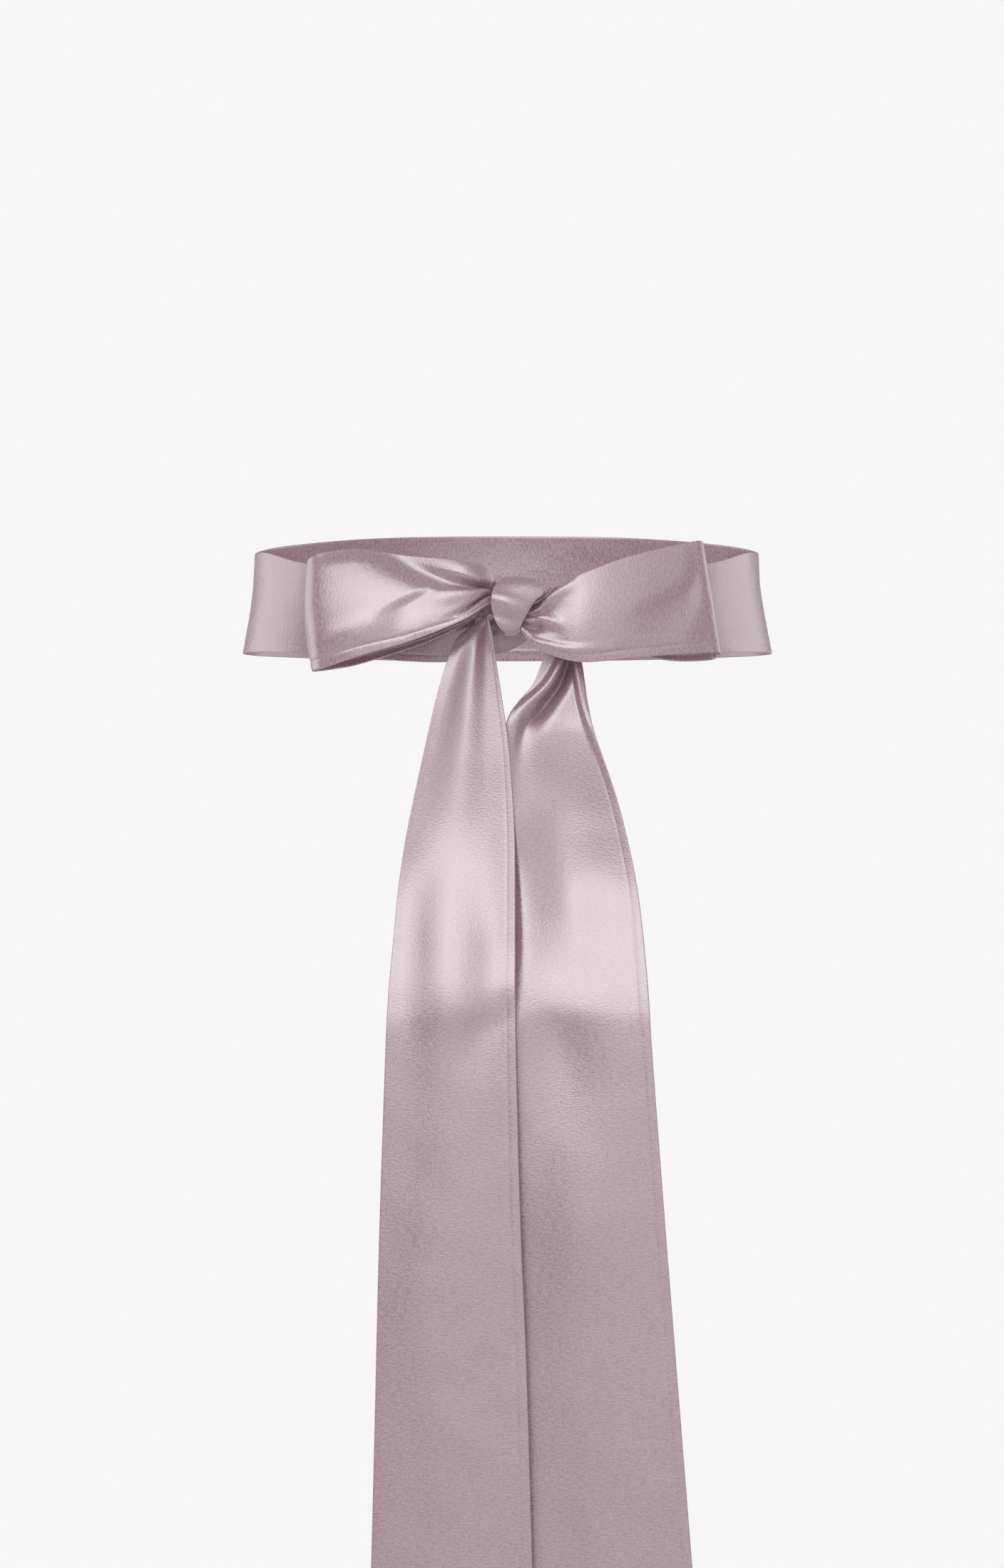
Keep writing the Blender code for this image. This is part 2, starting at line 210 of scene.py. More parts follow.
def swell_height(swells: Sequence[Swell], place: float, across: float) -> float:
    """Height of all the swells together at a place on a ribbon."""
    height = 0.0
    for swell in swells:
        sideways = (across - swell.across) / swell.across_spread
        along = (place - swell.row - swell.slant * (across - swell.across)) / swell.row_spread
        height += swell.height * math.exp(-((sideways**2 + along**2) ** (swell.crown / 2)))
    return height


class Signal:
    """A shader value that Python's operators build maths nodes on."""

    def __init__(self, bench: "ShaderBench", socket: bpy.types.NodeSocket) -> None:
        """Wrap an output socket of a bench's tree."""
        self.bench = bench
        self.socket = socket

    def math(self, operation: str, *others: Any) -> "Signal":
        """Maths node on this value and the others."""
        return self.bench.node("ShaderNodeMath", {"operation": operation}, [self, *others])

    def __add__(self, other: Any) -> "Signal":
        """Sum."""
        return self.math("ADD", other)

    def __radd__(self, other: Any) -> "Signal":
        """Sum from the right."""
        return self.math("ADD", other)

    def __sub__(self, other: Any) -> "Signal":
        """Difference."""
        return self.math("SUBTRACT", other)

    def __rsub__(self, other: Any) -> "Signal":
        """Difference from the right."""
        return self.bench.node("ShaderNodeMath", {"operation": "SUBTRACT"}, [other, self])

    def __mul__(self, other: Any) -> "Signal":
        """Product."""
        return self.math("MULTIPLY", other)

    def __rmul__(self, other: Any) -> "Signal":
        """Product from the right."""
        return self.math("MULTIPLY", other)


class ShaderBench:
    """A material's node tree, and the one way that nodes are put into it."""

    def __init__(self, name: str) -> None:
        """Start a new material with a Principled shader."""
        self.material = bpy.data.materials.new(name)
        self.material.use_nodes = True
        self.tree = self.material.node_tree
        self.shader = self.tree.nodes["Principled BSDF"]

    def node(self, kind: str, settings: dict[str, Any], inputs: Any, output: Any = 0) -> Signal:
        """Add a node.

        Args:
            kind: The node's type.
            settings: Properties that are set before its sockets.
            inputs: Values or signals, as a list in socket order or a dict by socket name.
            output: Name or number of the socket to hand on.

        Returns:
            The output as a signal.
        """
        made = self.tree.nodes.new(kind)
        for key, value in settings.items():
            setattr(made, key, value)
        pairs = inputs.items() if isinstance(inputs, dict) else enumerate(inputs)
        for key, value in pairs:
            self.feed(made.inputs[key], value)
        return Signal(self, made.outputs[output])

    def feed(self, socket: bpy.types.NodeSocket, value: Any) -> None:
        """Link a signal to a socket, or set its value."""
        if isinstance(value, Signal):
            self.tree.links.new(value.socket, socket)
        else:
            socket.default_value = value

    def blend(self, factor: Signal, low: Any, high: Any) -> Signal:
        """Colour between two colours."""
        made = self.tree.nodes.new("ShaderNodeMix")
        made.data_type = "RGBA"
        self.feed(made.inputs["Factor"], factor)
        self.feed(made.inputs[6], low)
        self.feed(made.inputs[7], high)
        return Signal(self, made.outputs[2])


@dataclass(frozen=True)
class SatinFinish:
    """Dusky mauve satin, with a fine weave, slubs along the weft and a soft broad gloss."""

    name: str = "mauve_satin"
    shade: tuple[float, float, float, float] = (0.250, 0.136, 0.172, 1.0)
    light: tuple[float, float, float, float] = (0.384, 0.226, 0.279, 1.0)
    roughness: float = 0.30
    ior: float = 2.7
    sheen: float = 0.12
    weave_pitch: float = 0.45
    slub_height: float = 0.04
    weave_height: float = 0.005
    drape_height: float = 2.6

    def make(self) -> bpy.types.Material:
        """Build the material.

        Returns:
            The satin, patterned on the cloth's own UV map in metres.
        """
        bench = ShaderBench(self.name)
        cloth = bench.node("ShaderNodeUVMap", {"uv_map": "cloth"}, {})
        slubs = self.streaks(bench, cloth, (300.0, 1000.0), 1.0)
        mottle = self.streaks(bench, cloth, (760.0, 1150.0), 1.0)
        drape = self.streaks(bench, cloth, (30.0, 10.0), 0.0, 0.5)
        weave = self.twill(bench, cloth)
        tone = slubs * 0.45 + mottle * 0.55
        bench.feed(bench.shader.inputs["Base Color"], bench.blend(tone, self.shade, self.light))
        rough = tone * 0.14 + (self.roughness - 0.07)
        bench.feed(bench.shader.inputs["Roughness"], rough)
        height = slubs * self.slub_height + mottle * self.slub_height + weave * self.weave_height
        height = height + drape * self.drape_height
        relief = bench.node(
            "ShaderNodeBump", {}, {"Strength": 0.55, "Distance": 0.001, "Height": height}
        )
        bench.feed(bench.shader.inputs["Normal"], relief)
        bench.shader.inputs["IOR"].default_value = self.ior
        bench.shader.inputs["Sheen Weight"].default_value = self.sheen
        bench.shader.inputs["Sheen Roughness"].default_value = 0.4
        return bench.material

    def streaks(
        self, bench: ShaderBench, cloth: Signal, scale: tuple[float, float], detail: float,
        reach: float = 0.14,
    ) -> Signal:
        """Noise of so many cells a metre across and along the cloth.

        Args:
            bench: The material's node bench.
            cloth: Place on the cloth, in metres.
            scale: Cells a metre across and along the cloth.
            detail: Octaves of finer noise.
            reach: Spread round the middle that is drawn out to the full range.

        Returns:
            A value from 0 to 1.
        """
        placed = bench.node(
            "ShaderNodeMapping", {}, {"Vector": cloth, "Scale": (scale[0], scale[1], 1.0)}
        )
        grain = bench.node(
            "ShaderNodeTexNoise",
            {"noise_dimensions": "2D"},
            {"Vector": placed, "Scale": 1.0, "Detail": detail, "Roughness": 0.6},
        )
        return bench.node(
            "ShaderNodeMapRange", {"clamp": True},
            {"Value": grain, "From Min": 0.5 - reach, "From Max": 0.5 + reach},
        )

    def twill(self, bench: ShaderBench, cloth: Signal) -> Signal:
        """Diagonal ribs of the weave, from -1 to 1."""
        parts = bench.node("ShaderNodeSeparateXYZ", {}, [cloth])
        along = bench.node("ShaderNodeSeparateXYZ", {}, [cloth], "Y")
        turns = 2 * math.pi / (self.weave_pitch * MM)
        return (parts * turns + along * (turns * 0.6)).math("SINE")


@dataclass(frozen=True)
class ThreadFinish:
    """Sewing thread, a little darker and duller than the satin."""

    name: str = "hem_thread"
    colour: tuple[float, float, float, float] = (0.22, 0.15, 0.17, 1.0)
    roughness: float = 0.6

    def make(self) -> bpy.types.Material:
        """Build the material, with the twist of the thread as fine bands."""
        bench = ShaderBench(self.name)
        place = bench.node("ShaderNodeTexCoord", {}, {}, "Object")
        twist = bench.node(
            "ShaderNodeTexWave", {"bands_direction": "DIAGONAL"}, {"Vector": place, "Scale": 900.0}
        )
        dark = tuple(part * 0.75 for part in self.colour[:3]) + (1.0,)
        bench.feed(bench.shader.inputs["Base Color"], bench.blend(twist, dark, self.colour))
        bench.shader.inputs["Roughness"].default_value = self.roughness
        return bench.material


@dataclass(frozen=True)
class FloorFinish:
    """Plain pale studio floor."""

    name: str = "pale_floor"
    colour: tuple[float, float, float, float] = (0.87, 0.86, 0.865, 1.0)

    def make(self) -> bpy.types.Material:
        """Build the material."""
        bench = ShaderBench(self.name)
        place = bench.node("ShaderNodeTexCoord", {}, {}, "Object")
        grain = bench.node("ShaderNodeTexNoise", {}, {"Vector": place, "Scale": 3.0})
        soft = tuple(part * 0.98 for part in self.colour[:3]) + (1.0,)
        bench.feed(bench.shader.inputs["Base Color"], bench.blend(grain, soft, self.colour))
        bench.shader.inputs["Roughness"].default_value = 0.9
        return bench.material


@dataclass
class ClothGrid:
    """An open grid of cloth, with its points given by a rule and a UV map in metres."""

    name: str
    along_faces: int
    across_stations: list[float]

    def make(self, point_at: Any, cloth_at: Any) -> bpy.types.Object:
        """Build the surface.

        Args:
            point_at: Gives the point in millimetres for a step along and a part across.
            cloth_at: Gives the distance across and along the cloth, in millimetres.

        Returns:
            The surface as a new object at the origin.
        """
        across_faces = len(self.across_stations) - 1
        shape = bmesh.new()
        bmesh.ops.create_grid(
            shape, x_segments=self.along_faces, y_segments=across_faces, size=0.5
        )
        layer = shape.loops.layers.uv.new("cloth")
        cloth_of = {}
        for vertex in shape.verts:
            step = round((vertex.co.x + 0.5) * self.along_faces)
            across = self.across_stations[round((vertex.co.y + 0.5) * across_faces)]
            cloth_of[vertex] = Vector(cloth_at(step, across)) * MM
            vertex.co = point_at(step, across) * MM
        for face in shape.faces:
            for corner in face.loops:
                corner[layer].uv = cloth_of[corner.vert]
        mesh = bpy.data.meshes.new(self.name)
        shape.to_mesh(mesh)
        shape.free()
        mesh.shade_smooth()
        piece = bpy.data.objects.new(self.name, mesh)
        bpy.context.scene.collection.objects.link(piece)
        return piece


def thicken(piece: bpy.types.Object, thickness: float, offset: float = 0.0) -> None:
    """Give a surface its thickness and round its edges."""
    wall = piece.modifiers.new("wall", "SOLIDIFY")
    wall.thickness = thickness * MM
    wall.offset = offset
    wall.use_even_offset = False
    smooth = piece.modifiers.new("smooth", "SUBSURF")
    smooth.levels = 1
    smooth.render_levels = 1


def hem_stations(width: float, plain_faces: int) -> list[float]:
    """Places across a ribbon, close together at its hems' stitched grooves."""
    near = [0.0, 0.7, 2.2, 4.0, HEM_WIDTH - 0.45, HEM_WIDTH, HEM_WIDTH + 0.45, HEM_WIDTH + 1.2]
    hem = [place / width for place in near]
    inner = 1 - 2 * hem[-1]
    plain = [hem[-1] + inner * step / plain_faces for step in range(1, plain_faces)]
    return hem + plain + [1 - place for place in reversed(hem)]


def hem_groove(across: float, width: float, hems: tuple[float, float]) -> float:
    """Depth of the stitched grooves at a part across a ribbon of a width."""
    first = hems[0] * bump(across * width - HEM_WIDTH, 1.3)
    second = hems[1] * bump((1 - across) * width - HEM_WIDTH, 1.3)
    return -HEM_GROOVE * (first + second)


@dataclass
class Ribbon:
    """One stretch of the sash between its sections, with its folds, swells and hems."""

    name: str
    node: str
    rows: list[Section]
    folds: list[Fold]
    swells: list[Swell]
    side: Side
    along_faces: int
    plain_faces: int
    width: float
    hems: tuple[float, float]
    pucker: float = 0.12
    places: list[float] = field(default_factory=list)
    lengths: list[float] = field(default_factory=list)

    def cross_line(self, place: float) -> tuple[Vector, Vector, float]:
        """Two edges of the ribbon at a place, and its belly."""
        section = row_at(self.rows, place)
        return Vector(section[0:3]), Vector(section[3:6]), section.belly

    def lay_out(self) -> None:
        """Choose places at even steps of length along the ribbon's middle."""
        steps = 600
        last = len(self.rows) - 1
        places = [last * step / steps for step in range(steps + 1)]
        middles = [(self.cross_line(place)[0] + self.cross_line(place)[1]) / 2 for place in places]
        lengths = [0.0]
        for start, end in zip(middles, middles[1:]):
            lengths.append(lengths[-1] + (end - start).length)
        step = 0
        for number in range(self.along_faces + 1):
            target = lengths[-1] * number / self.along_faces
            while step < steps - 1 and lengths[step + 1] < target:
                step += 1
            part = (target - lengths[step]) / (lengths[step + 1] - lengths[step])
            self.places.append(places[step] + (places[step + 1] - places[step]) * min(part, 1.0))
            self.lengths.append(target)

    def frame_at(self, place: float) -> tuple[Vector, Vector, float, Vector]:
        """Edges, belly and outward direction at a place."""
        first, second, belly = self.cross_line(place)
        last = len(self.rows) - 1
        ahead = self.cross_line(min(place + 0.05, last))
        behind = self.cross_line(max(place - 0.05, 0))
        run = (ahead[0] + ahead[1]) - (behind[0] + behind[1])
        outward = run.cross(second - first).normalized() * self.side.value
        return first, second, belly, outward

    def point(self, place: float, across: float) -> Vector:
        """Point of the ribbon's middle surface, in millimetres."""
        first, second, belly, outward = self.frame_at(place)
        spot = first.lerp(second, across)
        lift = belly * 4 * across * (1 - across)
        lift += fold_height(self.folds, place, across)
        lift += swell_height(self.swells, place, across)
        lift += hem_groove(across, self.width, self.hems)
        lift += self.pucker * self.ripple(spot, across)
        return spot + outward * lift

    def ripple(self, spot: Vector, across: float) -> float:
        """Small unevenness of the cloth, stronger at its stitched edges."""
        near_hem = self.hems[0] * bump(across * self.width - HEM_WIDTH, 9.0)
        near_hem += self.hems[1] * bump((1 - across) * self.width - HEM_WIDTH, 9.0)
        broad = noise.noise(spot * 0.045)
        fine = noise.noise(Vector((spot.x * 0.05, spot.y * 0.05, spot.z * 0.16)) * 1.6)
        return 2.2 * broad + near_hem * fine * 1.6

    def build(self) -> bpy.types.Object:
        """Make the ribbon as a thin shell.

        Returns:
            The shell, which stands for its solid.
        """
        self.lay_out()
        grid = ClothGrid(self.name, self.along_faces, hem_stations(self.width, self.plain_faces))

        def point_at(step: int, across: float) -> Vector:
            return self.point(self.places[step], across)

        def cloth_at(step: int, across: float) -> tuple[float, float]:
            return across * self.width, self.lengths[step]

        piece = grid.make(point_at, cloth_at)
        thicken(piece, CLOTH_THICKNESS)
        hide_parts(self.node)
        return piece


@dataclass
class HemStitches:
    """Rows of short straight stitches, sunk in a ribbon's hem grooves."""

    ribbon: Ribbon
    length: float = 1.9
    thickness: float = 0.34

    def build(self) -> bpy.types.Object:
        """Make both hems' stitches, on both faces of the cloth, as one mesh."""
        shape = bmesh.new()
        inset = HEM_WIDTH / self.ribbon.width
        count = int(self.ribbon.lengths[-1] / STITCH_PITCH)
        for across, hem in zip((inset, 1 - inset), self.ribbon.hems):
            for number in range(count if hem else 0):
                self.add_stitch(shape, across, number / count, 0.7 / count)
        mesh = bpy.data.meshes.new(self.ribbon.name + "_stitches")
        shape.to_mesh(mesh)
        shape.free()
        mesh.shade_smooth()
        piece = bpy.data.objects.new(mesh.name, mesh)
        bpy.context.scene.collection.objects.link(piece)
        return piece

    def place_at(self, part: float) -> float:
        """Place in rows at a part of the ribbon's length."""
        step = min(part, 0.9999) * (len(self.ribbon.places) - 1)
        first = int(step)
        start, end = self.ribbon.places[first], self.ribbon.places[first + 1]
        return start + (end - start) * (step - first)

    def add_stitch(self, shape: bmesh.types.BMesh, across: float, part: float, reach: float) -> None:
        """Add one stitch to a mesh, passing right through so that it shows on both faces."""
        start = self.ribbon.point(self.place_at(part), across)
        end = self.ribbon.point(self.place_at(min(part + reach, 1.0)), across)
        outward = self.ribbon.frame_at(self.place_at(part))[3]
        run = (end - start).normalized()
        level = run.cross(outward).normalized()
        made = bmesh.ops.create_icosphere(shape, subdivisions=1, radius=0.5)
        height = CLOTH_THICKNESS + self.thickness * 0.6
        for vertex in made["verts"]:
            along, wide, high = vertex.co
            offset = run * along * self.length + level * wide * self.thickness
            vertex.co = ((start + end) / 2 + offset + outward * high * height) * MM
        bmesh.ops.recalc_face_normals(shape, faces=list({f for v in made["verts"] for f in v.link_faces}))


@dataclass
class Waistband:
    """The band that goes round the waist, from the knot across the front and back to the knot."""

    half_breadth: float = 136.0
    half_depth: float = 100.0
    along_faces: int = 260
    plain_faces: int = 22
    width: float = 62.0
    left: list[BandRow] = field(
        default_factory=lambda: [
            BandRow(-180, 4.5, -22.0, 0.0, 1.0),
            BandRow(-174, 6.5, -28.0, 0.0, 0.6),
            BandRow(-168, 9.5, -33.5, 0.0, 0.2),
            BandRow(-158, 13.0, -33.5, 1.0, 0.0),
            BandRow(-145, 16.0, -31.0, 2.5, 0.0),
            BandRow(-127, 19.9, -28.4, 4.0, 0.0),
            BandRow(-109, 26.3, -27.2, 6.0, 0.0),
            BandRow(-90, 27.5, -27.5, 7.0, 0.0),
        ]
    )
    front: list[BandRow] = field(
        default_factory=lambda: [
            BandRow(-60, 34.0, -28.0, 5.0, 0.0),
            BandRow(-30, 39.5, -28.8, 3.0, 0.0),
            BandRow(0, 41.0, -29.0, 2.5, 0.0),
            BandRow(30, 39.5, -28.8, 3.0, 0.0),
            BandRow(60, 34.0, -28.0, 5.0, 0.0),
        ]
    )
    right: list[BandRow] = field(
        default_factory=lambda: [
            BandRow(90, 27.5, -27.5, 7.0, 0.0),
            BandRow(109, 26.3, -27.2, 6.0, 0.0),
            BandRow(127, 19.9, -28.0, 4.0, 0.0),
            BandRow(145, 15.0, -28.5, 2.5, 0.0),
            BandRow(158, 10.0, -27.5, 1.0, 0.0),
            BandRow(168, 4.0, -24.5, 0.0, 0.2),
            BandRow(174, 2.0, -22.0, 0.0, 0.6),
            BandRow(180, 1.0, -20.0, 0.0, 1.0),
        ]
    )
    folds: list[Fold] = field(
        default_factory=lambda: [
            Fold(3.6, 7.0, 0.20, 0.18, 0.16, 0.12, 0.12, 0.0, 0.5, 1.5),
            Fold(3.0, 7.0, 0.45, 0.43, 0.40, 0.13, 0.13, 0.0, -0.6, -1.7),
            Fold(3.4, 7.0, 0.62, 0.62, 0.62, 0.13, 0.13, 0.0, 0.5, 1.5),
            Fold(4.0, 7.0, 0.82, 0.83, 0.84, 0.12, 0.12, 0.0, -0.5, -1.4),
        ]
    )

    def point(self, place: float, across: float) -> Vector:
        """Point of the band's middle surface, in millimetres."""
        rows = self.left + self.front + self.right
        last = len(rows) - 1
        row = row_at(rows, place)
        angle = math.radians(row.angle)
        lower_part = max(across - 0.3, 0.0) / 0.7
        outward = row.flare * lower_part**1.4 + 4 * across * (1 - across) + row.pull
        from_side = abs(place - last / 2) - len(self.front) / 2 - 0.5
        outward += fold_height(self.folds, max(from_side, 0.0), across)
        outward += hem_groove(across, self.width, (0.0, 0.4))
        x = (self.half_breadth + outward) * math.sin(angle)
        y = (self.half_depth + outward) * math.cos(angle)
        z = row.top + (row.low - row.top) * across
        spot = Vector((x, y, z))
        uneven = noise.noise(spot * 0.03) * 0.7 + noise.noise(spot * 0.11) * 0.12
        return spot + Vector((math.sin(angle), math.cos(angle), 0)) * uneven

    def build(self) -> bpy.types.Object:
        """Make the band as one thin shell that stands for its three stretches."""
        last = len(self.left + self.front + self.right) - 1
        grid = ClothGrid("waistband", self.along_faces, hem_stations(self.width, self.plain_faces))

        def point_at(step: int, across: float) -> Vector:
            return self.point(last * step / self.along_faces, across)

        lengths = [0.0]
        for step in range(self.along_faces):
            lengths.append(lengths[-1] + (point_at(step + 1, 0.5) - point_at(step, 0.5)).length)

        def cloth_at(step: int, across: float) -> tuple[float, float]:
            return across * self.width, lengths[step]

        piece = grid.make(point_at, cloth_at)
        thicken(piece, CLOTH_THICKNESS)
        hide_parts("band_front", "band_back_left", "band_back_right")
        return piece


@dataclass
class Knot:
    """The knot: the bundle of the first tie, and the outer turn that goes over it."""

    middle_y: float = -127.0
    middle_z: float = -5.4
    half_depth: float = 10.0
    half_height: float = 15.5
    along_faces: int = 140
    across_faces: int = 30
    tie_back: float = -104.8
    wrap: list[WrapRow] = field(
        default_factory=lambda: [
            WrapRow(-1.0, -72, 4.3, -88, 0.3),
            WrapRow(-4.5, -50, 6.2, -62, 0.8),
            WrapRow(-7.0, -28, 8.8, -33, 1.2),
            WrapRow(-8.6, -2, 11.6, -11, 1.6),
            WrapRow(-8.6, 18, 14.9, 10, 1.8),
            WrapRow(-7.6, 38, 19.3, 27, 1.6),
            WrapRow(-4.5, 70, 18.0, 46, 1.2),
            WrapRow(-3.0, 100, 12.0, 85, 0.8),
            WrapRow(-6.0, 140, 10.0, 132, 0.4),
            WrapRow(-7.0, 180, 9.5, 180, 0.2),
            WrapRow(-6.0, 222, 8.0, 225, 0.2),
            WrapRow(-3.0, 258, 5.0, 255, 0.3),
            WrapRow(-1.0, 288, 4.3, 272, 0.3),
        ]
    )
    tie: list[TieRow] = field(
        default_factory=lambda: [
            TieRow(-17.0, 2.0, -24.0, -111.0),
            TieRow(-10.0, 5.5, -30.0, -114.5),
            TieRow(-4.0, 6.5, -29.2, -116.4),
            TieRow(2.0, 6.5, -27.0, -116.5),
            TieRow(9.0, 5.0, -24.5, -115.5),
            TieRow(16.0, 0.0, -21.0, -112.0),
        ]
    )

    creases: list[Swell] = field(
        default_factory=lambda: [
            Swell(3.4, 0.5, 0.9, 2.0, -1.2, 2.0, 2.0),
            Swell(2.3, 0.5, 0.8, 1.2, 0.0, -1.4, 2.0),
            Swell(2.0, 0.4, 0.4, 0.7, -0.8, -0.6, 2.0),
        ]
    )

    def wrap_point(self, place: float, across: float) -> Vector:
        """Point of the outer turn, in millimetres."""
        row = row_at(self.wrap, place)
        x = row.left_x + (row.right_x - row.left_x) * across
        angle = math.radians(row.left_angle + (row.right_angle - row.left_angle) * across)
        swell = row.swell * (4 * across * (1 - across) - 1)
        swell += swell_height(self.creases, place, across)
        y = self.middle_y - (self.half_depth + swell) * math.cos(angle)
        z = self.middle_z + (self.half_height + swell) * math.sin(angle)
        return Vector((x, y, z))

    def build_wrap(self) -> bpy.types.Object:
        """Make the outer turn, a short band wound round the ends of the loops and tails."""
        stations = [step / self.across_faces for step in range(self.across_faces + 1)]
        grid = ClothGrid("knot_turn", self.along_faces, stations)
        last = len(self.wrap) - 1

        def point_at(step: int, across: float) -> Vector:
            return self.wrap_point(last * step / self.along_faces, across)

        def cloth_at(step: int, across: float) -> tuple[float, float]:
            return across * 26.0, step * 0.7

        piece = grid.make(point_at, cloth_at)
        thicken(piece, 2.0, 1.0)
        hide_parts("knot_wrap")
        return piece

    def build_tie(self) -> bpy.types.Object:
        """Make the bundle of the first tie, with the creases of its pressed layers."""
        rows = self.tie
        middle_x = (rows[0].x + rows[-1].x) / 2
        half_length = (rows[-1].x - rows[0].x) / 2
        shape = bmesh.new()
        shape.loops.layers.uv.new("cloth")
        bmesh.ops.create_uvsphere(shape, u_segments=72, v_segments=40, radius=1.0, calc_uvs=True)
        for vertex in shape.verts:
            along = max(-1.0, min(1.0, vertex.co.z))
            round_y, round_z = vertex.co.x, vertex.co.y
            fullness = (1 - abs(along) ** 3) ** (1 / 3) / max(math.sqrt(1 - along**2), 1e-5)
            row = row_at(rows, (along + 1) / 2 * (len(rows) - 1))
            half_depth = (self.tie_back - row.front) / 2
            half_height = (row.top - row.low) / 2
            turn = math.atan2(round_z, round_y)
            crease = 1 - 0.035 * math.cos(6 * turn + 2.2 * along)
            x = middle_x + half_length * along
            y = (self.tie_back + row.front) / 2 + half_depth * round_y * fullness * crease
            z = (row.top + row.low) / 2 + half_height * round_z * fullness * crease
            vertex.co = Vector((x, y, z)) * MM
        bmesh.ops.recalc_face_normals(shape, faces=shape.faces)
        mesh = bpy.data.meshes.new("first_tie")
        shape.to_mesh(mesh)
        shape.free()
        mesh.shade_smooth()
        piece = bpy.data.objects.new("first_tie", mesh)
        bpy.context.scene.collection.objects.link(piece)
        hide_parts("knot_tie")
        return piece


